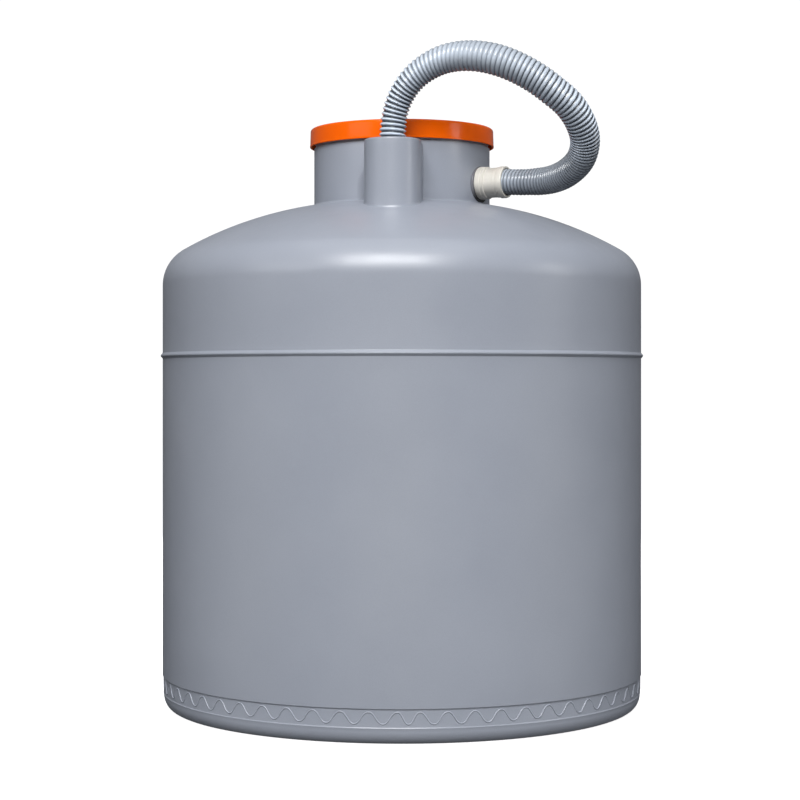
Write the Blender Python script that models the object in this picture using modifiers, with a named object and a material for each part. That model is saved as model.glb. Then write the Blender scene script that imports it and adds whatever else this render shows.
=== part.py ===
"""Biogas digester: a round moulded tank with a manhole neck, a lift-off lid and a gas hose.

Metres, +Z up. The origin is the middle of the flat underside, and -Y is the front, where the
small tower stands against the neck. Every course of the wall is four quarter segments.
"""

import bmesh
import bpy
from math import acos, asin, cos, pi, radians, sin, sqrt
from mathutils import Matrix, Vector

# Tank shell
TANK_RADIUS = 0.925
WALL = 0.008
SIDES = 64
FOOT_STEPS = 5
ROOF_STEPS = 8
ROUTE_STEPS = 24
TOUCH = 0.0003
DRILL_DEPTH = 0.1
THROUGH_NECK = 0.04

# Foot and the recessed band above it
FOOT_RADIUS = 0.920
FOOT_ROUND = 0.046
FLOOR_THICKNESS = 0.010
BAND_BOTTOM = 0.063
BAND_TOP = 0.124
BAND_RECESS = 0.005
BASE_INNER = TANK_RADIUS - BAND_RECESS - WALL

# Straight wall and the moulded belt rib round it
RIB_MIDDLE = 1.348
RIB_HEIGHT = 0.022
RIB_PROUD = 0.0074
RIB_FLAT = 0.004
WALL_TOP = 1.619

# Roof: a tight shoulder arc that runs into a wide dome arc
SHOULDER_RADIUS = 0.1537
SHOULDER_TURN = radians(60.06)
DOME_RADIUS = 1.4215

# Manhole neck and lid
NECK_RADIUS = 0.341
NECK_TOP = 2.2187
LID_RADIUS = 0.355
LID_BOTTOM = 2.157
LID_TOP = 2.227
LID_WALL = 0.004
LID_ROUND = 0.010
LID_LIP = 0.0025
LID_LIP_HEIGHT = 0.006
LIP_STEP = 0.001
LID_PLATE = LID_TOP - NECK_TOP - TOUCH

# Tower in front of the neck, which the hose drops into
TOWER_RADIUS = 0.1035
TOWER_DISTANCE = 0.448
TOWER_TOP = 2.137

# Side outlet of the neck: pipe stub, rubber grommet and hose coupling on one level axis
OUTLET_ANGLE = radians(-24.0)
OUTLET_HEIGHT = 2.004
STUB_OUTER = 0.0500
STUB_INNER = 0.0470
STUB_FROM = 0.318
STUB_TO = 0.400
GROMMET_RADIUS = 0.0705
GROMMET_CHAMFER = 0.001
COUPLING_FROM = 0.343
COUPLING_TO = 0.4525

# Coupling: a wide bead against the grommet, a plain body and a second bead at the hose's end
COUPLING_BODY = 0.0565
COUPLING_CHAMFER = 0.002
FIRST_BEAD = 0.0625
FIRST_BEAD_LENGTH = 0.031
SECOND_BEAD = 0.0605
SECOND_BEAD_LENGTH = 0.016
MOUTH_LENGTH = 0.004
BEAD_SLOPE = 0.004

# Hose: its radius where it enters the tower and the coupling, and its swell between them
HOSE_RADIUS = 0.0493
HOSE_CLEARANCE = 0.0008
HOSE_POINTS = 42
HOSE_SWELL = [
    (0.00, 1.0),
    (0.20, 1.0),
    (0.38, 1.10),
    (0.50, 1.165),
    (0.72, 1.165),
    (0.92, 1.07),
    (0.955, 1.0),
    (1.00, 1.0),
]
HOSE_ROUTE = [
    (0.000, -0.448, 2.109),
    (0.000, -0.448, 2.137),
    (0.008, -0.449, 2.222),
    (0.033, -0.462, 2.293),
    (0.076, -0.483, 2.351),
    (0.133, -0.503, 2.393),
    (0.198, -0.525, 2.418),
    (0.269, -0.546, 2.425),
    (0.339, -0.565, 2.417),
    (0.405, -0.579, 2.398),
    (0.470, -0.586, 2.369),
    (0.531, -0.587, 2.333),
    (0.590, -0.579, 2.290),
    (0.645, -0.556, 2.244),
    (0.685, -0.516, 2.188),
    (0.704, -0.463, 2.127),
    (0.690, -0.406, 2.067),
    (0.644, -0.343, 2.024),
    (0.580, -0.282, 2.002),
    (0.498, -0.230, 1.999),
    (0.413, -0.184, 2.004),
    (0.370, -0.165, 2.004),
]

QUARTERS = {"front": -90.0, "right": 0.0, "back": 90.0, "left": 180.0}

# Places that follow from the sizes above
FOOT_FLAT_RADIUS = FOOT_RADIUS - FOOT_ROUND
BAND_RADIUS = TANK_RADIUS - BAND_RECESS
WALL_INNER = TANK_RADIUS - WALL
RIB_BOTTOM = RIB_MIDDLE - RIB_HEIGHT / 2
RIB_TOP = RIB_MIDDLE + RIB_HEIGHT / 2
SHOULDER_CENTRE = (TANK_RADIUS - SHOULDER_RADIUS, WALL_TOP)
DOME_CENTRE = (
    SHOULDER_CENTRE[0] + (SHOULDER_RADIUS - DOME_RADIUS) * cos(SHOULDER_TURN),
    SHOULDER_CENTRE[1] + (SHOULDER_RADIUS - DOME_RADIUS) * sin(SHOULDER_TURN),
)
NECK_INNER = NECK_RADIUS - WALL
DOME_END_TURN = acos((NECK_INNER - DOME_CENTRE[0]) / DOME_RADIUS)
TOWER_CENTRE = Vector((0.0, -TOWER_DISTANCE, 0.0))
OUTLET_AXIS = Vector((cos(OUTLET_ANGLE), sin(OUTLET_ANGLE), 0.0))


def clear_scene():
    """Remove the objects that a new Blender file starts with."""
    for old in list(bpy.data.objects):
        bpy.data.objects.remove(old, do_unlink=True)


def collection(name):
    """Make a collection in the scene."""
    made = bpy.data.collections.new(name)
    bpy.context.scene.collection.children.link(made)
    return made


def material(name, colour, roughness, metallic=0.0):
    """Make a plain Principled material."""
    made = bpy.data.materials.new(name)
    made.use_nodes = True
    shader = made.node_tree.nodes["Principled BSDF"]
    shader.inputs["Base Color"].default_value = (*colour, 1.0)
    shader.inputs["Roughness"].default_value = roughness
    shader.inputs["Metallic"].default_value = metallic
    return made


def add(name, data, finish=None):
    """Put a mesh or a curve in the digester's collection under a node's name."""
    made = bpy.data.objects.new(name, data)
    PARTS.objects.link(made)
    if finish:
        data.materials.append(finish)
    return made


def shade(mesh):
    """Shade round faces smooth and keep real edges sharp."""
    mesh.shade_smooth()
    mesh.set_sharp_from_angle(angle=radians(35.0))


def as_cutter(made):
    """Keep an object as a cutter only."""
    made.hide_render = True
    made.display_type = "WIRE"
    PARTS.objects.unlink(made)
    CUTTERS.objects.link(made)
    return made


def cut(made, cutter):
    """Take a cutter's volume out of an object."""
    boolean = made.modifiers.new("Cut " + cutter.name, "BOOLEAN")
    boolean.operation = "DIFFERENCE"
    boolean.solver = "EXACT"
    boolean.object = cutter


def arc(centre, radius, start, end, steps):
    """Points (r, z) along an arc, from one angle to another, in steps + 1 points."""
    return [
        (centre[0] + radius * cos(start + (end - start) * i / steps),
         centre[1] + radius * sin(start + (end - start) * i / steps))
        for i in range(steps + 1)
    ]


def trimmed(line):
    """Shorten a line of points by half the touching gap at each end."""
    ends = []
    for end, inward in ((line[0], line[1]), (line[-1], line[-2])):
        step = (Vector(inward) - Vector(end)).normalized() * TOUCH / 2
        ends.append((end[0] + step.x, end[1] + step.y))
    return [ends[0], *line[1:-1], ends[1]]


def quarter(name, outline, middle, finish):
    """Spin a closed (r, z) outline through a quarter turn, short of its neighbours by the gap."""
    smallest = min(r for r, z in outline)
    sweep = pi / 2 - TOUCH / smallest
    start = Matrix.Rotation(radians(middle) - sweep / 2, 4, "Z")
    bm = bmesh.new()
    face = bm.faces.new([bm.verts.new(start @ Vector((r, 0.0, z))) for r, z in outline])
    bmesh.ops.spin(
        bm,
        geom=[face, *face.edges, *face.verts],
        axis=(0.0, 0.0, 1.0),
        cent=(0.0, 0.0, 0.0),
        angle=sweep,
        steps=SIDES // 4,
    )
    bmesh.ops.recalc_face_normals(bm, faces=bm.faces)
    mesh = bpy.data.meshes.new(name)
    bm.to_mesh(mesh)
    bm.free()
    shade(mesh)
    return add(name, mesh, finish)


def course(name, outline, finish):
    """Make one course of the wall as four quarters, and return them by side."""
    return {
        side: quarter(f"{name}_{side}", outline, middle, finish)
        for side, middle in QUARTERS.items()
    }


def turned(name, profile, finish=None, closed=True, sides=SIDES):
    """Turn a profile about the object's Z axis. Its outer side runs from top to bottom."""
    mesh = bpy.data.meshes.new(name)
    count = len(profile)
    edges = [(i, i + 1) for i in range(count - 1)]
    if closed:
        edges.append((count - 1, 0))
    mesh.from_pydata([(r, 0.0, z) for r, z in profile], edges, [])
    made = add(name, mesh, finish)
    screw = made.modifiers.new("Turn", "SCREW")
    screw.axis = "Z"
    screw.angle = 2 * pi
    screw.steps = sides
    screw.render_steps = sides
    screw.use_merge_vertices = True
    screw.merge_threshold = 0.0001
    screw.use_smooth_shade = True
    return made


def on_outlet(made):
    """Lay an object turned about its own Z along the side outlet's axis."""
    made.location = (0.0, 0.0, OUTLET_HEIGHT)
    made.rotation_mode = "QUATERNION"
    made.rotation_quaternion = OUTLET_AXIS.to_track_quat("Z", "Y")
    return made


def u_outline(radius, back):
    """Outline of the tower seen from above: half round in front, straight sides back to y = back."""
    front = arc(TOWER_CENTRE.xy, radius, pi, 2 * pi, SIDES // 3)
    return [(-radius, back), *front, (radius, back)]


def upright(name, outlines, bottom, top, finish=None):
    """Extrude closed outlines straight up, from one height to another, as a welded mesh."""
    flat = bpy.data.curves.new(name + " outline", "CURVE")
    flat.dimensions = "2D"
    flat.fill_mode = "BOTH"
    flat.extrude = (top - bottom) / 2
    for outline in outlines:
        spline = flat.splines.new("POLY")
        spline.points.add(len(outline) - 1)
        for point, (x, y) in zip(spline.points, outline):
            point.co = (x, y, 0.0, 1.0)
        spline.use_cyclic_u = True
    drawn = bpy.data.objects.new(name + " outline", flat)
    bpy.context.scene.collection.objects.link(drawn)
    drawn.location = (0.0, 0.0, (top + bottom) / 2)
    bpy.context.view_layer.update()
    evaluated = drawn.evaluated_get(bpy.context.evaluated_depsgraph_get())
    mesh = bpy.data.meshes.new_from_object(evaluated)
    mesh.transform(drawn.matrix_world)
    bpy.data.objects.remove(drawn, do_unlink=True)
    bm = bmesh.new()
    bm.from_mesh(mesh)
    bmesh.ops.remove_doubles(bm, verts=bm.verts, dist=0.00001)
    bmesh.ops.recalc_face_normals(bm, faces=bm.faces)
    bm.to_mesh(mesh)
    bm.free()
    mesh.name = name
    mesh.materials.clear()
    shade(mesh)
    return add(name, mesh, finish)


def smooth_route(points, count):
    """Read evenly spaced points from a smooth curve through the route's own points."""
    knots = [Vector(p) for p in points]
    knots = [2 * knots[0] - knots[1], *knots, 2 * knots[-1] - knots[-2]]
    fine = []
    for a, b, c, d in zip(knots, knots[1:], knots[2:], knots[3:]):
        for i in range(ROUTE_STEPS):
            t = i / ROUTE_STEPS
            fine.append(
                b + (c - a) * t / 2
                + (a - 2.5 * b + 2 * c - d / 2) * t * t
                + (1.5 * (b - c) + (d - a) / 2) * t ** 3
            )
    fine.append(knots[-2])
    along = [0.0]
    for p, q in zip(fine, fine[1:]):
        along.append(along[-1] + (q - p).length)
    even = []
    j = 0
    for i in range(count):
        want = along[-1] * i / (count - 1)
        while j < len(fine) - 2 and along[j + 1] < want:
            j += 1
        even.append(fine[j].lerp(fine[j + 1], (want - along[j]) / (along[j + 1] - along[j])))
    return even


def roof_outline(centre, radius, start, end, steps):
    """Outline of a shell course that follows an arc, one wall thick."""
    outer = arc(centre, radius, start, end, steps)
    inner = arc(centre, radius - WALL, start, end, steps)
    return [*trimmed(outer), *reversed(trimmed(inner))]


def dome_height(r, lift=0.0):
    """Height of the dome's outer face at a distance from the axis, or of a face lifted off it."""
    return DOME_CENTRE[1] + sqrt((DOME_RADIUS + lift) ** 2 - (r - DOME_CENTRE[0]) ** 2)


def make_floor():
    """Flat bottom of the tank, inside the foot."""
    edge = FOOT_FLAT_RADIUS - TOUCH
    profile = [(0.0, FLOOR_THICKNESS), (edge, FLOOR_THICKNESS), (edge, 0.0), (0.0, 0.0)]
    turned("tank_floor", profile, GREY, closed=False)


def make_foot():
    """Rounded foot that the tank stands on, up to the recessed band."""
    outer = arc((FOOT_FLAT_RADIUS, FOOT_ROUND), FOOT_ROUND, -pi / 2, 0.0, FOOT_STEPS)
    round_inside = BASE_INNER - FOOT_FLAT_RADIUS
    inner_centre = (FOOT_FLAT_RADIUS, FLOOR_THICKNESS + round_inside)
    inner = arc(inner_centre, round_inside, 0.0, -pi / 2, 3)
    top = BAND_BOTTOM - TOUCH / 2
    course("foot", [*outer, (FOOT_RADIUS, top), (BASE_INNER, top), *inner], GREY)


def make_band():
    """Recessed band round the base."""
    bottom = BAND_BOTTOM + TOUCH / 2
    top = BAND_TOP - TOUCH / 2
    outline = [(BAND_RADIUS, bottom), (BAND_RADIUS, top), (BASE_INNER, top), (BASE_INNER, bottom)]
    course("base_band", outline, GREY)


def make_lower_wall():
    """Straight wall from the band to the belt rib, with a ledge inside that sits on the band."""
    bottom = BAND_TOP + TOUCH / 2
    top = RIB_BOTTOM - TOUCH / 2
    ledge = BAND_TOP + WALL
    outline = [
        (TANK_RADIUS, bottom),
        (TANK_RADIUS, top),
        (WALL_INNER, top),
        (WALL_INNER, ledge + BAND_RECESS),
        (BASE_INNER, ledge),
        (BASE_INNER, bottom),
    ]
    course("lower_wall", outline, GREY)


def make_rib():
    """Belt rib moulded round the wall, a blunt V seen in section."""
    bottom = RIB_BOTTOM + TOUCH / 2
    top = RIB_TOP - TOUCH / 2
    tip = TANK_RADIUS + RIB_PROUD
    outline = [
        (TANK_RADIUS, bottom),
        (tip, RIB_MIDDLE - RIB_FLAT / 2),
        (tip, RIB_MIDDLE + RIB_FLAT / 2),
        (TANK_RADIUS, top),
        (WALL_INNER, top),
        (WALL_INNER, bottom),
    ]
    course("belt_rib", outline, GREY)


def make_upper_wall():
    """Straight wall from the belt rib to the shoulder."""
    bottom = RIB_TOP + TOUCH / 2
    top = WALL_TOP - TOUCH / 2
    outline = [(TANK_RADIUS, bottom), (TANK_RADIUS, top), (WALL_INNER, top), (WALL_INNER, bottom)]
    course("upper_wall", outline, GREY)


def make_roof():
    """Shoulder and dome, with an opening in the dome under the tower."""
    course("shoulder", roof_outline(SHOULDER_CENTRE, SHOULDER_RADIUS, 0.0, SHOULDER_TURN, ROOF_STEPS), GREY)
    outline = roof_outline(DOME_CENTRE, DOME_RADIUS, SHOULDER_TURN, DOME_END_TURN, ROOF_STEPS)
    dome = course("dome", outline, GREY)
    cut(dome["front"], TOWER_INSIDE)


def make_neck():
    """Manhole neck on the dome: open to the tower in front, and drilled for the side outlet."""
    outline = [
        (NECK_RADIUS, dome_height(NECK_RADIUS) + TOUCH),
        (NECK_RADIUS, NECK_TOP),
        (NECK_INNER, NECK_TOP),
        (NECK_INNER, dome_height(NECK_INNER) + TOUCH),
    ]
    neck = course("neck", outline, GREY)
    cut(neck["front"], TOWER_INSIDE)
    cut(neck["right"], OUTLET_HOLE)


def make_tower():
    """Tower wall standing on the dome, and its top plate with the hose hole."""
    inner = TOWER_RADIUS - WALL
    into_neck = -NECK_INNER * cos(asin(TOWER_RADIUS / NECK_RADIUS))
    under_dome = dome_height(TOWER_DISTANCE + TOWER_RADIUS) - 2 * WALL
    deck = TOWER_TOP - WALL
    wall_outline = [*u_outline(TOWER_RADIUS, into_neck), *reversed(u_outline(inner, into_neck))]
    wall = upright("tower_wall", [wall_outline], under_dome, deck - TOUCH, GREY)
    cut(wall, DOME_BODY)
    cut(wall, NECK_BODY)
    plate = upright("tower_top", [u_outline(TOWER_RADIUS, into_neck)], deck, TOWER_TOP, GREY)
    cut(plate, NECK_BODY)
    cut(plate, HOSE_HOLE)


def make_outlet():
    """Pipe stub through the neck, the rubber grommet round it and the coupling on its end."""
    stub = [
        (STUB_OUTER, STUB_TO),
        (STUB_OUTER, STUB_FROM),
        (STUB_INNER, STUB_FROM),
        (STUB_INNER, STUB_TO),
    ]
    on_outlet(turned("outlet_stub", stub, PIPE, sides=SIDES // 2))

    bore = STUB_OUTER + TOUCH
    front = COUPLING_FROM - TOUCH
    behind = NECK_INNER * cos(asin(GROMMET_RADIUS / NECK_INNER))
    ring = [
        (GROMMET_RADIUS - GROMMET_CHAMFER, front),
        (GROMMET_RADIUS, front - GROMMET_CHAMFER),
        (GROMMET_RADIUS, behind),
        (bore, behind),
        (bore, front),
    ]
    grommet = on_outlet(turned("outlet_grommet", ring, RUBBER, sides=SIDES // 2))
    cut(grommet, NECK_BODY)

    first_end = COUPLING_FROM + FIRST_BEAD_LENGTH
    second_end = COUPLING_TO - MOUTH_LENGTH
    second_start = second_end - SECOND_BEAD_LENGTH
    sleeve = [
        (COUPLING_BODY, COUPLING_TO),
        (SECOND_BEAD, second_end),
        (SECOND_BEAD, second_start),
        (COUPLING_BODY, second_start - BEAD_SLOPE),
        (COUPLING_BODY, first_end + BEAD_SLOPE),
        (FIRST_BEAD, first_end),
        (FIRST_BEAD, COUPLING_FROM + COUPLING_CHAMFER),
        (FIRST_BEAD - COUPLING_CHAMFER, COUPLING_FROM),
        (bore, COUPLING_FROM),
        (bore, COUPLING_TO),
    ]
    on_outlet(turned("hose_coupling", sleeve, CREAM, sides=SIDES // 2))


def make_lid():
    """Lift-off lid: a round plate on the neck's rim, and a skirt that hangs round the neck."""
    LID.location = (0.0, 0.0, NECK_TOP)
    skirt_inner = LID_RADIUS - LID_WALL
    underside = LID_TOP - LID_PLATE
    seam = underside - TOUCH
    plate = [
        (0.0, LID_TOP),
        *arc((LID_RADIUS - LID_ROUND, LID_TOP - LID_ROUND), LID_ROUND, pi / 2, 0.0, 3),
        (LID_RADIUS, underside),
        (0.0, underside),
    ]
    skirt = [
        (LID_RADIUS, seam),
        (LID_RADIUS + LID_LIP - LIP_STEP, LID_BOTTOM + LID_LIP_HEIGHT),
        (LID_RADIUS + LID_LIP, LID_BOTTOM + LID_LIP_HEIGHT - LIP_STEP),
        (LID_RADIUS + LID_LIP, LID_BOTTOM),
        (skirt_inner, LID_BOTTOM),
        (skirt_inner, seam),
    ]
    for name, profile, closed in (("lid_top", plate, False), ("lid_skirt", skirt, True)):
        local = [(r, z - NECK_TOP) for r, z in profile]
        turned(name, local, ORANGE, closed=closed).parent = LID


def swell(share):
    """The hose's radius at a share of its length, over its radius at its ends."""
    for (near, low), (far, high) in zip(HOSE_SWELL, HOSE_SWELL[1:]):
        if share <= far:
            return low + (high - low) * (share - near) / (far - near)
    return HOSE_SWELL[-1][1]


def make_hose():
    """Corrugated hose, as a plain tube from inside the tower's top to inside the coupling."""
    curve = bpy.data.curves.new("gas_hose", "CURVE")
    curve.dimensions = "3D"
    curve.bevel_depth = HOSE_RADIUS
    curve.bevel_resolution = 3
    curve.use_fill_caps = True
    spline = curve.splines.new("POLY")
    route = smooth_route(HOSE_ROUTE, HOSE_POINTS)
    spline.points.add(len(route) - 1)
    for i, (point, place) in enumerate(zip(spline.points, route)):
        point.co = (*place, 1.0)
        point.radius = swell(i / (len(route) - 1))
    add("gas_hose", curve, HOSE)


def drill(name, radius, sides=SIDES // 2):
    """Make a short cylinder whose flats stand clear of a round piece of this radius."""
    mesh = bpy.data.meshes.new(name)
    corner = radius / cos(pi / sides)
    bm = bmesh.new()
    bmesh.ops.create_cone(
        bm, cap_ends=True, segments=sides, depth=DRILL_DEPTH, radius1=corner, radius2=corner
    )
    bm.to_mesh(mesh)
    bm.free()
    return add(name, mesh)


def make_cutters():
    """Volumes that the shell is cut by: tower inside, outlet hole, hose hole, dome and neck."""
    inside = upright(
        "tower inside", [u_outline(TOWER_RADIUS - WALL, THROUGH_NECK - NECK_INNER)],
        WALL_TOP, TOWER_TOP - WALL - TOUCH,
    )
    outlet = drill("outlet hole", STUB_OUTER + TOUCH)
    outlet.location = OUTLET_AXIS * NECK_RADIUS + Vector((0.0, 0.0, OUTLET_HEIGHT))
    outlet.rotation_mode = "QUATERNION"
    outlet.rotation_quaternion = OUTLET_AXIS.to_track_quat("Z", "Y")

    hose = drill("hose hole", HOSE_RADIUS + HOSE_CLEARANCE)
    hose.location = TOWER_CENTRE + Vector((0.0, 0.0, TOWER_TOP))

    outer = arc(DOME_CENTRE, DOME_RADIUS + TOUCH, DOME_END_TURN, SHOULDER_TURN, ROOF_STEPS)
    dome = turned("dome body", [(0.0, outer[0][1]), *outer, (0.0, WALL_TOP)], closed=False)
    rim = NECK_RADIUS + TOUCH
    neck = turned(
        "neck body", [(0.0, NECK_TOP), (rim, NECK_TOP), (rim, WALL_TOP), (0.0, WALL_TOP)],
        closed=False,
    )
    return [as_cutter(made) for made in (inside, outlet, hose, dome, neck)]


clear_scene()
PARTS = collection("biogas digester")
CUTTERS = collection("cutters")

GREY = material("grey polyethylene", (0.36, 0.39, 0.45), 0.45)
ORANGE = material("orange polyethylene", (0.90, 0.16, 0.01), 0.35)
CREAM = material("cream PVC", (0.80, 0.78, 0.73), 0.35)
PIPE = material("white PVC pipe", (0.78, 0.78, 0.76), 0.35)
RUBBER = material("dark rubber", (0.03, 0.03, 0.035), 0.6)
HOSE = material("blue-grey hose", (0.33, 0.39, 0.45), 0.3)

LID = bpy.data.objects.new("lid lift", None)
PARTS.objects.link(LID)

TOWER_INSIDE, OUTLET_HOLE, HOSE_HOLE, DOME_BODY, NECK_BODY = make_cutters()

make_floor()
make_foot()
make_band()
make_lower_wall()
make_rib()
make_upper_wall()
make_roof()
make_neck()
make_tower()
make_outlet()
make_lid()
make_hose()
bpy.context.view_layer.update()
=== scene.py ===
"""The looks of the biogas digester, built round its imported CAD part. Metres; -Y is the front, +Z is up."""

import math

import bmesh
import bpy
from mathutils import Matrix, Vector


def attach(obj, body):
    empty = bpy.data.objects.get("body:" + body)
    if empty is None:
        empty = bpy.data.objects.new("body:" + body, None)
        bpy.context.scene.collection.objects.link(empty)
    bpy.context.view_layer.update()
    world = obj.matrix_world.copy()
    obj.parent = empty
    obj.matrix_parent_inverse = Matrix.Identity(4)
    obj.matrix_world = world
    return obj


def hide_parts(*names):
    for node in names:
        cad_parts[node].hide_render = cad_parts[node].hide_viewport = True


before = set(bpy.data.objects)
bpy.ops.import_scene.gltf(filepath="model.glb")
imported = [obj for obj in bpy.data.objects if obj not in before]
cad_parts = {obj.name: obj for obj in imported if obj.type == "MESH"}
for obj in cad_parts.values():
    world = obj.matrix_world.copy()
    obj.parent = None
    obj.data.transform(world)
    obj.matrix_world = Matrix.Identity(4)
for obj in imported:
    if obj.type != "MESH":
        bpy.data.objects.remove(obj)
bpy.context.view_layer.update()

# Tank, as in the CAD source
TANK_RADIUS = 0.925
WALL = 0.008
FOOT_RADIUS = 0.920
FLOOR_THICKNESS = 0.010
BAND_BOTTOM = 0.063
BAND_TOP = 0.124
BAND_RECESS = 0.005
RIB_MIDDLE = 1.348
RIB_HEIGHT = 0.022
RIB_PROUD = 0.0074
RIB_FLAT = 0.004
WALL_TOP = 1.619
SHOULDER_RADIUS = 0.1537
SHOULDER_TURN = math.radians(60.06)
DOME_RADIUS = 1.4215
DOME_CENTRE = (0.1385, 0.5205)
NECK_RADIUS = 0.341
NECK_TOP = 2.2187
TOWER_RADIUS = 0.1035
TOWER_DISTANCE = 0.448
TOWER_TOP = 2.137

# Each course of the shell is four CAD nodes, such as foot_front
QUARTERS = ("front", "right", "back", "left")
COURSES = ("foot", "base_band", "lower_wall", "belt_rib", "upper_wall", "shoulder", "dome", "neck")

# Lid, outlet and hose, as in the CAD source
LID_RADIUS = 0.355
LID_BOTTOM = 2.157
LID_TOP = 2.227
LID_ROUND = 0.010
LID_LIP = 0.0025
LID_WALL = 0.004
LID_PLATE = 0.008
OUTLET_ANGLE = math.radians(-24)
OUTLET_HEIGHT = 2.004
STUB_OUTER = 0.050
STUB_INNER = 0.047
STUB_FROM = 0.318
STUB_TO = 0.400
GROMMET_RADIUS = 0.0705
GROMMET_FRONT = 0.3427
COUPLING_FROM = 0.343
COUPLING_TO = 0.4525
COUPLING_BODY = 0.0565
FIRST_BEAD = 0.0625
SECOND_BEAD = 0.0605
HOSE_RADIUS = 0.0493
HOSE_ROUTE = [
    (0.000, -0.448, 2.109),
    (0.000, -0.448, 2.137),
    (0.008, -0.449, 2.222),
    (0.033, -0.462, 2.293),
    (0.076, -0.483, 2.351),
    (0.133, -0.503, 2.393),
    (0.198, -0.525, 2.418),
    (0.269, -0.546, 2.425),
    (0.339, -0.565, 2.417),
    (0.405, -0.579, 2.398),
    (0.470, -0.586, 2.369),
    (0.531, -0.587, 2.333),
    (0.590, -0.579, 2.290),
    (0.645, -0.556, 2.244),
    (0.685, -0.516, 2.188),
    (0.704, -0.463, 2.127),
    (0.690, -0.406, 2.067),
    (0.644, -0.343, 2.024),
    (0.580, -0.282, 2.002),
    (0.498, -0.230, 1.999),
    (0.413, -0.184, 2.004),
    (0.370, -0.165, 2.004),
]

# The hose's ribs: each list gives a value at distances along the hose from the tower's top
RIB_PITCH = [(0.0, 0.0178), (0.30, 0.0170), (0.42, 0.0165), (0.50, 0.0178), (0.72, 0.0172),
             (0.95, 0.0165), (1.08, 0.0130), (1.18, 0.0106), (1.30, 0.0110), (1.38, 0.0150), (1.48, 0.0152)]
RIB_DEPTH = [(0.0, 0.0080), (0.20, 0.0076), (0.35, 0.0056), (0.46, 0.0046), (0.60, 0.0050),
             (0.90, 0.0046), (1.10, 0.0036), (1.30, 0.0034), (1.48, 0.0042)]
# Radius over the crests
HOSE_SWELL = [(0.0, 0.0493), (0.22, 0.0497), (0.42, 0.0545), (0.58, 0.0575), (0.80, 0.0575),
              (1.00, 0.0558), (1.10, 0.0540), (1.26, 0.0535), (1.38, 0.0515), (1.42, 0.0493)]
# Below one, a rounded rib has a broad crest and a narrow valley; above one, the reverse
RIB_SHARPNESS = [(0.0, 1.3), (0.35, 0.8), (0.60, 0.65), (0.85, 0.8), (1.05, 1.2), (1.30, 1.2), (1.48, 1.0)]
# Share of straight flanks in a rib's shape
RIB_POINTED = [(0.0, 1.0), (0.22, 0.9), (0.36, 0.35), (0.50, 0.1), (1.30, 0.1), (1.45, 0.5)]
# How far a rib leans forward along the hose at the outside of the bend
RIB_LEAN = [(0.0, 0.0), (0.15, 0.001), (0.30, 0.006), (0.44, 0.009), (0.51, 0.0), (0.66, -0.003),
            (0.98, -0.004), (1.10, -0.004), (1.20, 0.003), (1.28, 0.005), (1.38, 0.002), (1.46, 0.0)]
# Brightness of the plastic, which along the hose also paints light and shade, and how much of it the faces
# that look down or up lose to painted shade
HOSE_TONE_AND_PAINTED_LIGHT = [(0.0, 1.85), (0.15, 1.75), (0.25, 1.65), (0.45, 1.35), (0.60, 1.25), (0.75, 1.32),
             (0.85, 1.58), (0.95, 2.05), (1.03, 1.95), (1.13, 0.54), (1.23, 0.58), (1.33, 0.70),
             (1.43, 0.90), (1.53, 1.30)]
UNDERSIDE_PAINTED_SHADE = [(0.0, 0.66), (0.20, 0.72), (0.85, 0.72), (1.00, 0.76), (1.13, 0.10), (1.23, 0.50),
             (1.33, 0.86), (1.43, 0.98), (1.53, 1.00)]
TOPSIDE_PAINTED_SHADE = [(0.0, 0.0), (0.13, 0.0), (0.22, 0.22), (0.32, 0.47), (0.55, 0.40), (0.70, 0.22),
           (0.95, 0.16), (1.10, 0.0)]
# How far the painted shade of the valleys reaches up a rib, standing for the shade that falls down in them
GROOVE_SHADE = [(0.0, 1.2), (0.17, 1.15), (0.24, 0.90), (0.33, 0.72), (0.46, 0.50), (0.55, 0.70),
                (0.65, 1.0), (0.80, 1.40), (1.05, 1.60), (1.14, 0.75), (1.30, 0.60), (1.48, 0.80)]
RIB_STEPS = 12
HOSE_AROUND = 64
HOSE_FINE = 1600

# The tank's mesh: points round it, heights of rows up its wall, and the flat disc in the floor's middle
AROUND = 320
LOWER_ROWS = (0.30, 0.55, 0.80, 1.05, 1.25)
UPPER_ROWS = (1.45, 1.55)
FLOOR_DISC = 0.30

# Small forms of the tank that only the looks have
FOOT_BEAD = 0.0018
# Reach inwards and upwards of the foot's elliptical corner
FOOT_CORNER = (0.041, 0.052)
NECK_FILLET = 0.010
RIM_GROOVE = 0.0062
TOWER_ROUND = 0.007
# Width and height of the tower's foot edge
TOWER_SKIRT = (0.0030, 0.0052)
# Fillets between tower and neck: the left one is wide at the foot and narrow at the top
RIGHT_VALLEY = 0.006
LEFT_VALLEY = (0.070, 0.008)
# Shares of the tower's height at which it has a row of points
TOWER_ROWS = (0.01, 0.15, 0.3, 0.4, 0.5, 0.6, 0.7, 0.8, 0.9, 1.0)

# What is cut out: the tower's inside, the hose's hole in its top, and the outlet's hole in the neck
POCKET_BOTTOM = 1.70
POCKET_BACK = -0.30
HOSE_HOLE = HOSE_RADIUS + 0.001
HOSE_HOLE_SPAN = (2.05, 2.20)
OUTLET_HOLE = 0.0501
OUTLET_HOLE_SPAN = (0.30, 0.37)

# The wavy line on the base band. The crests are (degrees from the front, waves counted to there).
WAVES = 58
WAVE_CRESTS = [(-180.0, -29.30), (-59.7, -10.0), (-27.6, -5.0), (3.52, 0.0), (8.37, 1.0), (38.5, 6.0),
               (180.0, 28.70)]
WAVE_STEPS = 28
WAVE_SWING = 0.0215
# Share of the third harmonic, which blunts the crests
WAVE_BLUNT = 0.04
WAVE_WIDTH = 0.0060
WAVE_PROUD = 0.0024

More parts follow.
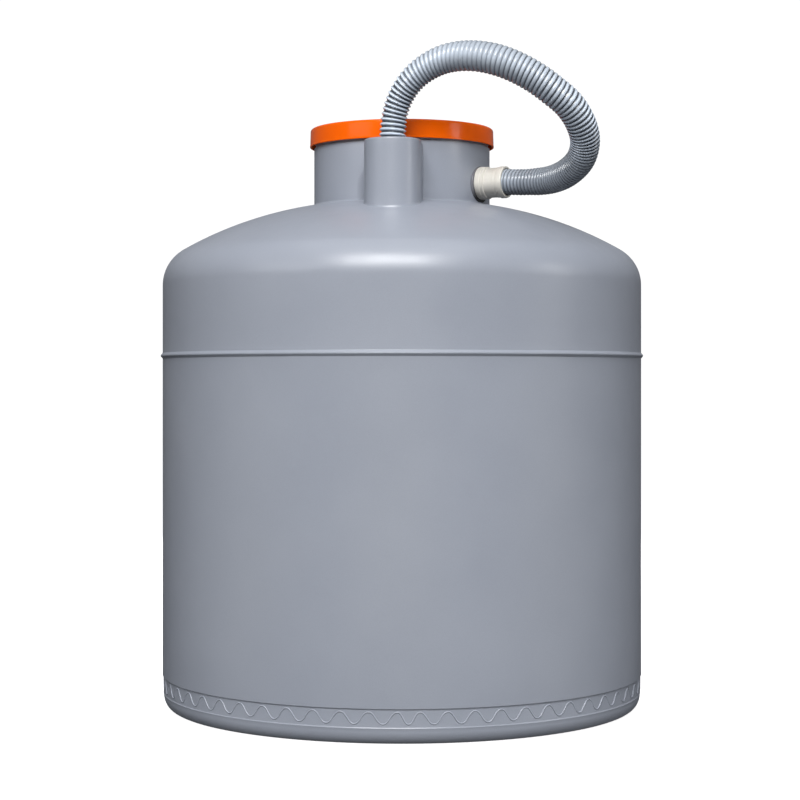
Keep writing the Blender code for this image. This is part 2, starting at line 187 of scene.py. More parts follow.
# Small forms of the outlet: the bore of its rings, and how low the grommet hangs
RING_BORE = 0.0503
GROMMET_DROP = 0.005

# Strength of the sky's soft light from below and from above
SKY_LOW = 0.0
SKY_HIGH = 0.230

# Camera, fitted to the photograph's outlines
CAMERA_AZIMUTH = math.radians(4.5)
CAMERA_DISTANCE = 7.708
CAMERA_HEIGHT = 1.2548
CAMERA_LENS = 89.06
CAMERA_SHIFT = (-0.0024, -0.025)

# Name, azimuth, elevation, distance, width, height, power, and for some spread and target
LIGHTS = [
    ("key_light", -3, 40, 12.0, 7.0, 5.0, 1420),
    ("right_panel", 73.5, 14, 5.0, 1.0, 1.6, 23, 180, (0, 0, 1.75)),
    ("overhead", 0, 80, 6.0, 6.0, 6.0, 68),
]
# Lights that don't show in reflections
FILLS = [
    ("front_low", 2, 0, 5.0, 3.0, 0.9, 9.2, 90, (0, 0, 0.6)),
    ("left_low", -60, 0, 4.5, 1.6, 1.2, 4.2, 90, (0, 0, 0.45)),
    ("right_low", 68, 0, 4.5, 1.6, 1.2, 6.0, 90, (0, 0, 0.45)),
    ("back_fill", 184, 6, 8.0, 5.0, 1.6, 330),
]
# Lights that show only in reflections
SHEENS = [("left_sheen", -48, 20, 6.0, 3.0, 1.2, 24, 180, (0, 0, 1.6))]


# Curves and meshes


def smooth_route(points, count, fine_steps=60):
    """Even points along a smooth curve through the route's points, and the curve's length."""
    knots = [Vector(p) for p in points]
    knots = [2 * knots[0] - knots[1], *knots, 2 * knots[-1] - knots[-2]]
    fine = []
    for a, b, c, d in zip(knots, knots[1:], knots[2:], knots[3:]):
        for i in range(fine_steps):
            t = i / fine_steps
            fine.append(b + (c - a) * t / 2 + (a - 2.5 * b + 2 * c - d / 2) * t * t
                        + (1.5 * (b - c) + (d - a) / 2) * t ** 3)
    fine.append(knots[-2])
    along = [0.0]
    for p, q in zip(fine, fine[1:]):
        along.append(along[-1] + (q - p).length)
    even = []
    j = 0
    for i in range(count):
        want = along[-1] * i / (count - 1)
        while j < len(fine) - 2 and along[j + 1] < want:
            j += 1
        even.append(fine[j].lerp(fine[j + 1], (want - along[j]) / (along[j + 1] - along[j])))
    return even, along[-1]


def knot_value(knots, s):
    """A value at s, between knots of (s, value)."""
    for (s0, v0), (s1, v1) in zip(knots, knots[1:]):
        if s <= s1:
            return v0 + (v1 - v0) * max(s - s0, 0) / (s1 - s0)
    return knots[-1][1]


def mesh_object(name, points, faces, smooth=True):
    """A new object from points and faces."""
    mesh = bpy.data.meshes.new(name)
    mesh.from_pydata([tuple(p) for p in points], [], faces)
    mesh.validate()
    obj = bpy.data.objects.new(name, mesh)
    bpy.context.scene.collection.objects.link(obj)
    if smooth:
        mesh.shade_smooth()
    return obj


def join_rows(rows, ends):
    """The quads between closed rows of points. The ends are "capped", "open", or "joined" to each other."""
    width = len(rows[0])
    last = len(rows) - 1
    faces = []
    for j in range(last + (ends == "joined")):
        low = j * width
        high = (j + 1) % len(rows) * width
        for i in range(width):
            k = (i + 1) % width
            faces.append((low + i, low + k, high + k, high + i))
    if ends == "capped":
        faces.append(list(reversed(range(width))))
        faces.append([last * width + i for i in range(width)])
    return faces


def rows_object(name, rows, ends="capped", smooth=True):
    """A new object from rows of points."""
    return mesh_object(name, [p for row in rows for p in row], join_rows(rows, ends), smooth)


def fix_normals(obj):
    """Turn every face of a closed mesh outwards."""
    work = bmesh.new()
    work.from_mesh(obj.data)
    bmesh.ops.recalc_face_normals(work, faces=work.faces)
    work.to_mesh(obj.data)
    work.free()


def sharpen(obj, degrees=35):
    """Edges sharper than this angle stay crisp in the smooth shading."""
    with bpy.context.temp_override(object=obj, active_object=obj, selected_editable_objects=[obj],
                                   selected_objects=[obj]):
        bpy.ops.object.shade_smooth_by_angle(angle=math.radians(degrees))


def cut(obj, cutter):
    """Cut one object's shape out of another."""
    step = obj.modifiers.new("cut", "BOOLEAN")
    step.operation = "DIFFERENCE"
    step.solver = "EXACT"
    step.object = cutter
    with bpy.context.temp_override(object=obj, active_object=obj):
        bpy.ops.object.modifier_apply(modifier=step.name)


def dress(obj, body, slot, material, *nodes):
    """Give a piece its material and body, and hide the CAD nodes that it stands for. The slot is not used.
    """
    obj.data.materials.clear()
    obj.data.materials.append(material)
    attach(obj, body)
    if nodes:
        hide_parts(*nodes)
    return obj


def corners(points, steps=4):
    """A profile through corner points (r, z) or (r, z, fillet radius), with each fillet as an arc."""
    path = []
    for i, corner in enumerate(points):
        here = Vector(corner[:2])
        radius = corner[2] if len(corner) > 2 else 0
        if not radius or i in (0, len(points) - 1):
            path.append(here)
            continue
        back = (Vector(points[i - 1][:2]) - here).normalized()
        ahead = (Vector(points[i + 1][:2]) - here).normalized()
        half = back.angle(ahead) / 2
        reach = radius / math.tan(half)
        centre = here + (back + ahead).normalized() * radius / math.sin(half)
        start = here + back * reach - centre
        end = here + ahead * reach - centre
        turn = start.angle(end)
        for k in range(steps + 1):
            t = k / steps
            bend = start * math.sin((1 - t) * turn) + end * math.sin(t * turn)
            path.append(centre + bend / math.sin(turn))
    return path


def arc(centre, radius, start, end, steps):
    """Points along an arc from one angle to another."""
    angles = [start + (end - start) * k / steps for k in range(steps + 1)]
    return [Vector((centre[0] + radius * math.cos(a), centre[1] + radius * math.sin(a))) for a in angles]


def circle(centre, radius, count):
    """Even points round a circle in plan."""
    angles = [2 * math.pi * i / count for i in range(count)]
    return [Vector((centre[0] + radius * math.cos(a), centre[1] + radius * math.sin(a))) for a in angles]


def turned(profile, count):
    """A profile of (radius, height) turned round the z axis: a row of points for each of its points."""
    angles = [2 * math.pi * i / count for i in range(count)]
    return [[Vector((p[0] * math.cos(a), p[0] * math.sin(a), p[1])) for a in angles] for p in profile]


def prism(outline, low, high, name):
    """A closed upright prism over a plan outline given anticlockwise."""
    rows = [[Vector((p[0], p[1], z)) for p in outline] for z in (low, high)]
    return rows_object(name, rows, smooth=False)


def outlet_frame():
    """From the outlet's own axes (x across, y up, z outwards from the tank's axis) to the row frame."""
    out = Vector((math.cos(OUTLET_ANGLE), math.sin(OUTLET_ANGLE), 0))
    up = Vector((0, 0, 1))
    across = up.cross(out)
    placed = Matrix((across, up, out)).transposed().to_4x4()
    placed.translation = Vector((0, 0, OUTLET_HEIGHT))
    return placed


def on_outlet(name, profile, count=96, ends="joined"):
    """A ring turned round the outlet's axis from a profile of (radius, distance from the tank's axis)."""
    obj = rows_object(name, turned(profile, count), ends)
    obj.data.transform(outlet_frame())
    return obj


# Materials


class Nodes:
    """A short way to write a material's nodes."""

    def __init__(self, name):
        self.material = bpy.data.materials.new(name)
        self.material.use_nodes = True
        self.tree = self.material.node_tree
        self.shader = self.tree.nodes["Principled BSDF"]
        self.place = self.add("ShaderNodeTexCoord").outputs["Object"]

    def add(self, kind, **settings):
        node = self.tree.nodes.new(kind)
        for key, value in settings.items():
            if key in node.inputs:
                node.inputs[key].default_value = value
            else:
                setattr(node, key, value)
        return node

    def link(self, source, target):
        self.tree.links.new(source, target)

    def noise(self, scale, detail=2.0, roughness=0.5):
        node = self.add("ShaderNodeTexNoise", Scale=scale, Detail=detail, Roughness=roughness)
        self.link(self.place, node.inputs["Vector"])
        return node.outputs["Fac"]

    def ramp(self, source, low, high, to_low, to_high):
        node = self.add("ShaderNodeMapRange", clamp=True)
        node.inputs["From Min"].default_value = low
        node.inputs["From Max"].default_value = high
        node.inputs["To Min"].default_value = to_low
        node.inputs["To Max"].default_value = to_high
        self.link(source, node.inputs["Value"])
        return node.outputs["Result"]

    def upright(self, vector):
        node = self.add("ShaderNodeSeparateXYZ")
        self.link(vector, node.inputs["Vector"])
        return node.outputs["Z"]

    def blend(self, factor, one, two):
        node = self.add("ShaderNodeMix", data_type="RGBA")
        self.link(factor, node.inputs["Factor"])
        for value, socket in ((one, node.inputs[6]), (two, node.inputs[7])):
            if isinstance(value, bpy.types.NodeSocket):
                self.link(value, socket)
            else:
                socket.default_value = (*value, 1)
        return node.outputs[2]

    def bump(self, height, distance, under=None):
        node = self.add("ShaderNodeBump", Strength=1.0, Distance=distance)
        self.link(height, node.inputs["Height"])
        if under is not None:
            self.link(under, node.inputs["Normal"])
        return node.outputs["Normal"]

    def finish(self, colour, roughness, normal, specular):
        self.link(colour, self.shader.inputs["Base Color"])
        self.link(roughness, self.shader.inputs["Roughness"])
        self.link(normal, self.shader.inputs["Normal"])
        self.shader.inputs["Specular IOR Level"].default_value = specular
        return self.material


def moulded(name, tone, deep, rough, waves, grain, specular, under=1.0, heights=None):
    """Moulded plastic: two close tones in broad clouds, fine specks, slow waves and orange peel.

    Where under is less than one, painted shade darkens the faces that look down, or what lies low between
    heights.
    """
    n = Nodes(name)
    clouds = n.ramp(n.noise(2.3, 3.0, 0.55), 0.35, 0.65, 0.0, 1.0)
    specks = n.ramp(n.noise(260.0, 2.0, 0.6), 0.30, 0.70, 0.0, 0.10)
    flecked = n.blend(specks, n.blend(clouds, deep, tone), [c * 0.55 for c in deep])
    # Painted shade, blended towards black
    if under < 1:
        low, high = heights or (-0.7, 0.0)
        vector = n.place if heights else n.add("ShaderNodeNewGeometry").outputs["Normal"]
        flecked = n.blend(n.ramp(n.upright(vector), low, high, under, 1.0), (0.0, 0.0, 0.0), flecked)
    roughness = n.ramp(n.noise(14.0, 3.0), 0.3, 0.7, rough - 0.03, rough + 0.04)
    slow = n.bump(n.noise(5.0, 1.0), waves)
    peel = n.bump(n.noise(330.0, 2.0), grain, under=slow)
    return n.finish(flecked, roughness, peel, specular)


def ribbed(name, tone, deep, rough, specular):
    """Glossy hose plastic, with painted shade in the valleys between its ribs and painted light and shade
    per point.
    """
    n = Nodes(name)
    # Painted shade: the groove mask darkens the valleys towards the deep colour
    groove = n.add("ShaderNodeAttribute", attribute_name="groove").outputs["Fac"]
    faded = n.blend(n.ramp(n.noise(9.0, 3.0, 0.6), 0.35, 0.65, 0.0, 1.0), tone, [c * 0.9 for c in tone])
    # The tone per point paints light and shade along the hose and on its upper and lower sides
    toned = n.add("ShaderNodeVectorMath", operation="SCALE")
    n.link(faded, toned.inputs[0])
    n.link(n.add("ShaderNodeAttribute", attribute_name="tone").outputs["Fac"], toned.inputs["Scale"])
    shaded = n.blend(n.ramp(groove, 0.25, 0.95, 0.0, 1.0), toned.outputs["Vector"], deep)
    roughness = n.ramp(n.noise(40.0, 3.0), 0.3, 0.7, rough - 0.03, rough + 0.04)
    peel = n.bump(n.noise(420.0, 2.0), 0.00005)
    return n.finish(shaded, roughness, peel, specular)


# Tank


def dome_height(radius, offset=0.0):
    """Height of the dome, or of a surface this far over it, at a radius from the tank's axis."""
    return DOME_CENTRE[1] + math.sqrt((DOME_RADIUS + offset) ** 2 - (radius - DOME_CENTRE[0]) ** 2)


def dome_angle(point):
    """The angle of a profile point round the centre of the dome's arc."""
    return math.atan2(point[1] - DOME_CENTRE[1], point[0] - DOME_CENTRE[0])


def neck_fillet():
    """The profile of the fillet between the dome and the neck, from the dome up."""
    out = NECK_RADIUS + NECK_FILLET
    centre = Vector((out, dome_height(out, NECK_FILLET)))
    to_dome = Vector(DOME_CENTRE) - centre
    return arc(centre, NECK_FILLET, math.atan2(to_dome[1], to_dome[0]), -math.pi, 7)


def shell_profile():
    """The tank's profile: outside from the underside up to the neck's rim, then inside to the floor."""
    band = TANK_RADIUS - BAND_RECESS
    slope = BAND_RECESS / 2
    proud = TANK_RADIUS + RIB_PROUD
    inner = NECK_RADIUS - WALL
    turns = [math.pi / 2 * (1 - k / 12) for k in range(13)]
    wide, tall = FOOT_CORNER
    outside = corners([
        (FLOOR_DISC, 0.0),
        *[(FOOT_RADIUS - wide * (1 - math.cos(a)), tall * (1 - math.sin(a))) for a in turns],
        (FOOT_RADIUS + FOOT_BEAD, BAND_BOTTOM - 0.005, 0.0015), (band, BAND_BOTTOM - 0.001, 0.001),
        (band, BAND_TOP - slope, 0.0015), (TANK_RADIUS, BAND_TOP + slope, 0.0015),
        *[(TANK_RADIUS, z) for z in LOWER_ROWS], (TANK_RADIUS, RIB_MIDDLE - RIB_HEIGHT / 2, 0.003),
        (proud, RIB_MIDDLE - RIB_FLAT / 2, 0.003), (proud, RIB_MIDDLE + RIB_FLAT / 2, 0.003),
        (TANK_RADIUS, RIB_MIDDLE + RIB_HEIGHT / 2, 0.003), *[(TANK_RADIUS, z) for z in UPPER_ROWS],
    ], 5)
    shoulder = (TANK_RADIUS - SHOULDER_RADIUS, WALL_TOP)
    outside += arc(shoulder, SHOULDER_RADIUS, 0, SHOULDER_TURN, 16)
    fillet = neck_fillet()
    start = dome_angle(outside[-1])
    outside += arc(DOME_CENTRE, DOME_RADIUS, start, dome_angle(fillet[0]), 20)[1:-1] + fillet
    groove = NECK_RADIUS - RIM_GROOVE
    rim = corners([
        (NECK_RADIUS, 2.0), (NECK_RADIUS, 2.10), (NECK_RADIUS, LID_BOTTOM - 0.006, 0.001),
        (groove, LID_BOTTOM - 0.005), (groove, LID_BOTTOM + 0.010),
        (NECK_RADIUS, LID_BOTTOM + 0.016), (NECK_RADIUS, NECK_TOP, 0.002),
        (inner, NECK_TOP, 0.002), (inner, 2.05),
    ], 4)
    top = dome_angle((inner, dome_height(inner, -WALL)))
    inside = arc(DOME_CENTRE, DOME_RADIUS - WALL, top, start, 12)
    inside += arc(shoulder, SHOULDER_RADIUS - WALL, SHOULDER_TURN, 0, 8)[1:]
    inside += corners([
        (TANK_RADIUS - WALL, 1.2), (TANK_RADIUS - WALL, BAND_TOP), (band - WALL, BAND_TOP - 0.005),
        (band - WALL, FLOOR_THICKNESS, 0.03), (FLOOR_DISC, FLOOR_THICKNESS),
    ], 5)
    return outside + rim + inside


def make_shell():
    """The tank's shell, without the tower."""
    obj = rows_object("tank_shell", turned(shell_profile(), AROUND))
    fix_normals(obj)
    return obj


def half_plan(fillet):
    """Half of the tower's plan as (point, outward normal), from the neck at its right to its front."""
    valley = Vector((TOWER_RADIUS + fillet,
                     -math.sqrt((NECK_RADIUS + fillet) ** 2 - (TOWER_RADIUS + fillet) ** 2)))
    start = math.atan2(-valley[1], -valley[0])
    half = []
    steps = 8
    for k in range(steps + 1):
        a = start + (math.pi - start) * k / steps
        normal = -Vector((math.cos(a), math.sin(a)))
        half.append((valley - normal * fillet, normal))
    flank = valley[1]
    for k in range(1, 4):
        half.append((Vector((TOWER_RADIUS, flank + (-TOWER_DISTANCE - flank) * k / 4)), Vector((1, 0))))
    steps = 28
    for k in range(steps + 1):
        a = -math.pi / 2 * k / steps
        normal = Vector((math.cos(a), math.sin(a)))
        half.append((Vector((0, -TOWER_DISTANCE)) + normal * TOWER_RADIUS, normal))
    return half


def tower_outline(left_fillet):
    """The tower's whole plan, with a given fillet in the valley to the left of it."""
    right = half_plan(RIGHT_VALLEY)
    left = half_plan(left_fillet)
    return right + [(Vector((-p[0], p[1])), Vector((-n[0], n[1]))) for p, n in reversed(left[:-1])]


def tower_column(foot, top, normal):
    """Points up the tower's side, from a point of its plan at the foot to one at the top."""
    skirt = foot + normal * TOWER_SKIRT[0]
    low = dome_height(skirt.length)
    above = low + TOWER_SKIRT[1]
    # The lowest point is sunk into the dome
    column = [Vector((*(skirt + normal * 0.001), low - 0.006)), Vector((*skirt, low)),
              Vector((*(foot + normal * 0.0003), above))]
    for t in TOWER_ROWS:
        closed = min(max((t - 0.3) / 0.5, 0), 1)
        at = foot.lerp(top, closed * closed * (3 - 2 * closed))
        column.append(Vector((*at, above + (TOWER_TOP - TOWER_ROUND - above) * t)))
    for k in range(1, 8):
        a = math.pi / 2 * k / 7
        back = top - normal * TOWER_ROUND * (1 - math.cos(a))
        column.append(Vector((*back, TOWER_TOP - TOWER_ROUND * (1 - math.sin(a)))))
    return column


def make_tower():
    """The tower in front of the neck; the valley to the left of it opens out towards its foot."""
    outline = tower_outline(LEFT_VALLEY[0])
    top_outline = tower_outline(LEFT_VALLEY[1])
    columns = [tower_column(p, top, n) for (p, n), (top, _) in zip(outline, top_outline)]
    hidden = NECK_RADIUS - WALL / 2
    first = math.atan2(outline[0][0][1], outline[0][0][0])
    last = math.atan2(outline[-1][0][1], outline[-1][0][0])
    right = [point[2] for point in columns[0]]
    left = [point[2] for point in columns[-1]]
    inside = 9
    for k in range(inside):
        t = k / (inside - 1)
        a = last + (first - last) * t
        columns.append([Vector((hidden * math.cos(a), hidden * math.sin(a), low * (1 - t) + high * t))
                        for low, high in zip(left, right)])
    rows = [list(row) for row in zip(*columns)]
    faces = [face[::-1] for face in join_rows(rows, "capped")]
    obj = mesh_object("hose_tower", [p for row in rows for p in row], faces)
    fix_normals(obj)
    return obj


def make_cutters():
    """The inside of the tower, the hose's hole in its top, and the outlet's hole in the neck."""
    middle = (0, -TOWER_DISTANCE)
    radius = TOWER_RADIUS - WALL
    turns = [-math.pi * k / 40 for k in reversed(range(41))]
    outline = [Vector(middle) + Vector((math.cos(a), math.sin(a))) * radius for a in turns]
    outline += [Vector((radius, POCKET_BACK)), Vector((-radius, POCKET_BACK))]
    pocket = prism(outline, POCKET_BOTTOM, TOWER_TOP - WALL, "pocket_cutter")
    hole = prism(circle(middle, HOSE_HOLE, 96), *HOSE_HOLE_SPAN, "hole_cutter")
    bore = on_outlet("bore_cutter", [Vector((OUTLET_HOLE, z)) for z in OUTLET_HOLE_SPAN], 64, "open")
    work = bmesh.new()
    work.from_mesh(bore.data)
    bmesh.ops.holes_fill(work, edges=work.edges)
    work.to_mesh(bore.data)
    work.free()
    for cutter in (pocket, hole, bore):
        fix_normals(cutter)
    return pocket, hole, bore


def wave_height(angle):
    """Height of the wavy line's middle at an azimuth; the wave at the front is shorter than the rest."""
    degrees = (math.degrees(angle) + 180) % 360 - 180
    turn = 2 * math.pi * knot_value(WAVE_CRESTS, degrees) + math.pi / 2
    swing = math.sin(turn) + WAVE_BLUNT * math.sin(3 * turn)
    return (BAND_BOTTOM + BAND_TOP) / 2 + WAVE_SWING * swing


def make_wave():
    """The raised wavy line moulded round the recessed band."""
    band = TANK_RADIUS - BAND_RECESS
    count = WAVES * WAVE_STEPS
    step = math.pi / count
    section = [(k / 5, 1 - (k / 5) ** 2 if abs(k) < 5 else -0.25) for k in range(-5, 6)]
    width = len(section)
    points = []
    faces = []
    for j in range(count):
        a = 2 * math.pi * j / count
        slope = math.atan((wave_height(a + step) - wave_height(a - step)) / (2 * step * band))
        for across, out in section:
            d = across * WAVE_WIDTH / 2
            angle = a - math.sin(slope) * d / band
            r = band + out * WAVE_PROUD
            z = wave_height(a) + math.cos(slope) * d
            points.append(Vector((r * math.sin(angle), -r * math.cos(angle), z)))
        here = j * width
        ahead = (j + 1) % count * width
        for i in range(width - 1):
            faces.append((here + i, ahead + i, ahead + i + 1, here + i + 1))
    obj = mesh_object("band_wave", points, faces)
    fix_normals(obj)
    return obj


# Lid


def make_lid():
    """The cap: a plate with a rounded edge, and a skirt with a small lip at its foot."""
    inner = LID_RADIUS - LID_WALL
    foot = LID_RADIUS + LID_LIP - 0.0008
    under = LID_TOP - LID_PLATE
    profile = corners([
        (0.02, LID_TOP), (0.20, LID_TOP), (LID_RADIUS, LID_TOP, LID_ROUND),
        (foot, LID_BOTTOM + 0.008, 0.002), (LID_RADIUS + LID_LIP, LID_BOTTOM + 0.006, 0.001),
        (LID_RADIUS + LID_LIP, LID_BOTTOM, 0.0015), (inner, LID_BOTTOM, 0.001),
        (inner, under, 0.003), (0.02, under),
    ], 5)
    obj = rows_object("lid_cap", turned(profile, 192))
    fix_normals(obj)
    return obj


# Side outlet


def make_stub():
    """The pipe stub through the neck's wall."""
    return on_outlet("stub_pipe", corners([
        (STUB_INNER, STUB_FROM), (STUB_OUTER, STUB_FROM, 0.0008), (STUB_OUTER, STUB_TO, 0.0008),
        (STUB_INNER, STUB_TO),
    ], 3))


def make_grommet():
    """The rubber ring between coupling and neck, hanging a little low; its back follows the neck."""
    profile = corners([
        (RING_BORE, 0.320), (GROMMET_RADIUS, 0.320), (GROMMET_RADIUS, GROMMET_FRONT, 0.0045),
        (RING_BORE, GROMMET_FRONT, 0.0008), (RING_BORE, 0.322),
    ], 8)
    obj = on_outlet("outlet_seal", profile, 128)
    forth = outlet_frame()
    back = forth.inverted()
    for vertex in obj.data.vertices:
        p = back @ vertex.co
        p[1] -= GROMMET_DROP
        p[2] = max(p[2], math.sqrt(NECK_RADIUS ** 2 - p[0] ** 2) - 0.0005)
        vertex.co = forth @ p
    fix_normals(obj)
    return obj


def make_coupling():
    """The cream coupling: a bead with a collar, a plain body, and a bulge at its mouth."""
    start = COUPLING_FROM
    mouth = COUPLING_TO
    first_bead = [
        (FIRST_BEAD - 0.001, start, 0.0015), (FIRST_BEAD, start + 0.005, 0.003),
        (FIRST_BEAD, start + 0.0185, 0.0015), (FIRST_BEAD - 0.0022, start + 0.0205, 0.0008),
        (FIRST_BEAD - 0.0022, start + 0.0215, 0.0008), (FIRST_BEAD - 0.0008, start + 0.0235, 0.001),
        (FIRST_BEAD - 0.0012, start + 0.0325, 0.0015),
    ]
    body = [
        (COUPLING_BODY, start + 0.035, 0.0015), (COUPLING_BODY, start + 0.072, 0.001),
        (COUPLING_BODY + 0.0010, start + 0.0735, 0.0008), (COUPLING_BODY + 0.0010, start + 0.0760, 0.0008),
        (COUPLING_BODY + 0.0002, start + 0.0775, 0.0008), (COUPLING_BODY + 0.0004, start + 0.0845, 0.001),
    ]
    second_bead = [
        (SECOND_BEAD, start + 0.0885, 0.0015), (SECOND_BEAD, mouth - 0.0055, 0.003),
        (SECOND_BEAD - 0.0018, mouth, 0.0015), (RING_BORE + 0.0015, mouth, 0.0008),
    ]
    profile = corners([(RING_BORE, start), *first_bead, *body, *second_bead, (RING_BORE, mouth - 0.004)], 5)
    obj = on_outlet("outlet_coupling", profile, 160)
    fix_normals(obj)
    return obj


# Hose


def pointed(t):
    """A rib with straight flanks, a narrow crest and a wider valley; t runs from valley to valley."""
    return (1 - abs(2 * t - 1)) ** 1.2


def rib_rings(length, inside):
    """Where the hose has rings of points: (distance from its start, height from valley 0 to crest 1)."""
    rings = []
    s = 0.0
    while s < length:
        pitch = knot_value(RIB_PITCH, s - inside)
        sharp = knot_value(RIB_SHARPNESS, s - inside)
        point = knot_value(RIB_POINTED, s - inside)
        for k in range(RIB_STEPS):
            place = s + k / RIB_STEPS * pitch
            if place < length:
                rounded = math.sin(math.pi * k / RIB_STEPS) ** sharp
                rings.append((place, rounded + (pointed(k / RIB_STEPS) - rounded) * point))
        s += pitch
    rings.append((length, 0.0))
    return rings


def make_hose():
    """The corrugated hose: pointed ribs near the tower, rounder ones in the arch, finer ones below."""
    line, length = smooth_route(HOSE_ROUTE, HOSE_FINE)
    step = length / (HOSE_FINE - 1)
    inside = HOSE_ROUTE[1][2] - HOSE_ROUTE[0][2]
    rings = rib_rings(length, inside)

    def at(s):
        k = min(max(s / step, 0), HOSE_FINE - 1.001)
        j = int(k)
        return line[j].lerp(line[j + 1], k - j)

    rows = []
    centres = []
    tones = []
    shades = []
    normal = Vector((0, -1, 0))
    for place, height in rings:
        s = place - inside
        middle = at(place)
        ahead = (at(place + 0.006) - at(place - 0.006)).normalized()
        normal = (normal - ahead * normal.dot(ahead)).normalized()
        side = ahead.cross(normal)
        outward = ahead.cross(Vector((0, 1, 0))).normalized()
        radius = knot_value(HOSE_SWELL, s) - knot_value(RIB_DEPTH, s) * (1 - height)
        lean = knot_value(RIB_LEAN, s)
        tone = knot_value(HOSE_TONE_AND_PAINTED_LIGHT, s)
        under = knot_value(UNDERSIDE_PAINTED_SHADE, s)
        over = knot_value(TOPSIDE_PAINTED_SHADE, s)
        # Painted shade for the valleys, strongest at their bottoms
        shade = (1 - height) * knot_value(GROOVE_SHADE, s)
        row = []
        for i in range(HOSE_AROUND):
            a = 2 * math.pi * i / HOSE_AROUND
            spoke = normal * math.cos(a) + side * math.sin(a)
            row.append(middle + spoke * radius + ahead * lean * spoke.dot(outward))
            # Painted shade: faces that look down, and those that look up, are darkened
            side_shade = under * min(spoke[2], 0) - over * max(spoke[2], 0)
            tones.append(tone * (1 + side_shade))
            shades.append(shade)
        rows.append(row)
        centres.append(middle)
    obj = rows_object("corrugated_hose", rows)
    fix_normals(obj)
    # The painted shade of the valleys, and the brightness with its painted light and shade, for the hose's
    # material
    for name, values in (("groove", shades), ("tone", tones)):
        obj.data.attributes.new(name, "FLOAT", "POINT").data.foreach_set("value", values)
    return obj, centres, length


# Building

tank_plastic = moulded("tank_plastic_look", (0.335, 0.360, 0.418), (0.315, 0.340, 0.398), 0.34, 0.0012,
                       0.00022, 0.75)
lid_plastic = moulded("lid_plastic_look", (0.97, 0.130, 0.0), (0.94, 0.120, 0.0), 0.17, 0.0006,
                      0.00008, 0.18)
# The coupling's faces that look down are darkened as painted shade
coupling_plastic = moulded("coupling_look", (0.90, 0.865, 0.78), (0.87, 0.835, 0.75), 0.30, 0.0004,
                           0.00006, 0.5, 0.40)
pipe_plastic = moulded("pipe_look", (0.78, 0.77, 0.75), (0.74, 0.73, 0.71), 0.35, 0.0004, 0.00006, 0.5)
# The rubber's grey is partly its own dusty grey and partly a painted sheen, and it darkens lower down as
# painted shade
rubber = moulded("rubber_look", (0.180, 0.184, 0.206), (0.165, 0.169, 0.190), 0.23, 0.0003, 0.00005,
                 0.8, 0.06, (OUTLET_HEIGHT - 0.060, OUTLET_HEIGHT - 0.022))
# The hose's second colour is the painted shade down in its valleys
hose_plastic = ribbed("hose_look", (0.455, 0.508, 0.580), (0.038, 0.046, 0.060), 0.25, 0.8)

hose, hose_line, hose_length = make_hose()
dress(hose, "tank", "hose_plastic", hose_plastic, "gas_hose")

shell = make_shell()
tower = make_tower()
pocket, hole, bore = make_cutters()
cut(shell, pocket)
cut(shell, bore)
cut(tower, pocket)
cut(tower, hole)
for cutter in (pocket, hole, bore):
    bpy.data.objects.remove(cutter)
sharpen(shell)
sharpen(tower)
dress(shell, "tank", "tank_plastic", tank_plastic, "tank_floor",
      *[f"{course}_{quarter}" for course in COURSES for quarter in QUARTERS])
dress(tower, "tank", "tank_plastic", tank_plastic, "tower_wall", "tower_top")
dress(make_wave(), "tank", "tank_plastic", tank_plastic)
sharpen(dress(make_lid(), "lid", "lid_plastic", lid_plastic, "lid_top", "lid_skirt"), 40)
dress(make_stub(), "tank", "pipe_pvc", pipe_plastic, "outlet_stub")
sharpen(dress(make_grommet(), "tank", "grommet_rubber", rubber, "outlet_grommet"), 40)
sharpen(dress(make_coupling(), "tank", "coupling_pvc", coupling_plastic, "hose_coupling"), 40)

# Stage, light and camera

scene = bpy.context.scene
scene.view_settings.view_transform = "Standard"
scene.view_settings.look = "None"


def direction(azimuth, elevation):
    """A unit vector towards an azimuth from the front, to the right, and an elevation, in degrees."""
    a, e = math.radians(azimuth), math.radians(elevation)
    return Vector((math.sin(a) * math.cos(e), -math.cos(a) * math.cos(e), math.sin(e)))


def softbox(name, azimuth, elevation, distance, width, height, power, spread=180, target=(0, 0, 1.2)):
    """A rectangular area light that looks at its target from an azimuth and an elevation, in degrees."""
    data = bpy.data.lights.new(name, "AREA")
    data.shape = "RECTANGLE"
    data.size = width
    data.size_y = height
    data.energy = power
    data.spread = math.radians(spread)
    lamp = bpy.data.objects.new(name, data)
    scene.collection.objects.link(lamp)
    away = direction(azimuth, elevation)
    lamp.location = Vector(target) + away * distance
    lamp.rotation_euler = away.to_track_quat("Z", "Y").to_euler()
    lamp.visible_camera = False
    return lamp


def stage_piece(name, points, faces, look, grey, strength):
    """A flat piece of the stage that glows, casts no shadow and shows in no reflection."""
    obj = mesh_object(name, points, faces, False)
    material = bpy.data.materials.new(look)
    material.use_nodes = True
    surface = material.node_tree.nodes["Principled BSDF"]
    surface.inputs["Base Color"].default_value = (grey, grey, grey, 1)
    surface.inputs["Roughness"].default_value = 0.9
    surface.inputs["Specular IOR Level"].default_value = 0.0
    surface.inputs["Emission Color"].default_value = (1, 1, 1, 1)
    surface.inputs["Emission Strength"].default_value = strength
    obj.data.materials.append(material)
    obj.visible_glossy = False
    obj.visible_shadow = False
    return obj


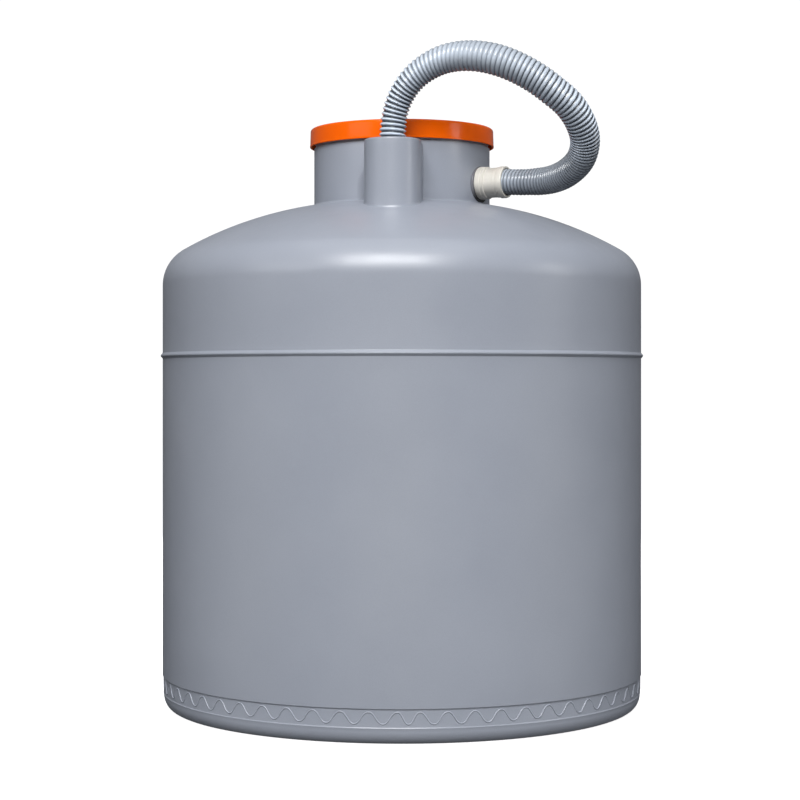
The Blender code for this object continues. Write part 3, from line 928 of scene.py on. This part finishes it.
def studio_world():
    """A pale sky that is soft and brighter above, and plain white where the camera looks at it."""
    world = bpy.data.worlds.new("studio")
    world.use_nodes = True
    tree = world.node_tree
    background = tree.nodes["Background"]
    background.inputs["Strength"].default_value = 1.0
    where = tree.nodes.new("ShaderNodeTexCoord")
    split = tree.nodes.new("ShaderNodeSeparateXYZ")
    fade = tree.nodes.new("ShaderNodeMapRange")
    fade.interpolation_type = "SMOOTHSTEP"
    fade.inputs["From Min"].default_value = -0.35
    fade.inputs["From Max"].default_value = 0.45
    fade.inputs["To Min"].default_value = SKY_LOW
    fade.inputs["To Max"].default_value = SKY_HIGH
    tint = tree.nodes.new("ShaderNodeVectorMath")
    tint.operation = "SCALE"
    tint.inputs[0].default_value = (0.93, 0.96, 1.0)
    white = tree.nodes.new("ShaderNodeBackground")
    white.inputs["Color"].default_value = (1, 1, 1, 1)
    white.inputs["Strength"].default_value = 1.05
    choose = tree.nodes.new("ShaderNodeMixShader")
    rays = tree.nodes.new("ShaderNodeLightPath")
    tree.links.new(where.outputs["Generated"], split.inputs["Vector"])
    tree.links.new(split.outputs["Z"], fade.inputs["Value"])
    tree.links.new(fade.outputs["Result"], tint.inputs["Scale"])
    tree.links.new(tint.outputs["Vector"], background.inputs["Color"])
    tree.links.new(rays.outputs["Is Camera Ray"], choose.inputs["Fac"])
    tree.links.new(background.outputs["Background"], choose.inputs[1])
    tree.links.new(white.outputs["Background"], choose.inputs[2])
    tree.links.new(choose.outputs["Shader"], tree.nodes["World Output"].inputs["Surface"])
    return world


for light in LIGHTS:
    softbox(*light)
for light in FILLS:
    softbox(*light).visible_glossy = False
for light in SHEENS:
    softbox(*light).visible_diffuse = False
scene.world = studio_world()

square = [(x, y, -0.001) for x, y in ((-30, -30), (30, -30), (30, 30), (-30, 30))]
floor = stage_piece("studio_floor", square, [(0, 1, 2, 3)], "floor_look", 0.9, 0.85)
floor.visible_diffuse = False

# A faint ring of light on the floor, which lifts the foot's underside
ring = [Vector((p[0], p[1], -0.0005)) for radius in (0.86, 1.35) for p in circle((0, 0), radius, 96)]
sides = [(i, (i + 1) % 96, 96 + (i + 1) % 96, 96 + i) for i in range(96)]
glow = stage_piece("floor_glow", ring, sides, "glow_look", 0.0, 0.14)
glow.visible_camera = False

camera_data = bpy.data.cameras.new("camera")
camera_data.sensor_width = 36
camera_data.lens = CAMERA_LENS
camera_data.shift_x, camera_data.shift_y = CAMERA_SHIFT
camera_data.clip_end = 200
camera = bpy.data.objects.new("camera", camera_data)
scene.collection.objects.link(camera)
toward = Vector((math.sin(CAMERA_AZIMUTH), -math.cos(CAMERA_AZIMUTH), 0))
camera.location = toward * CAMERA_DISTANCE + Vector((0, 0, CAMERA_HEIGHT))
camera.rotation_euler = (math.pi / 2, 0, CAMERA_AZIMUTH)
scene.camera = camera
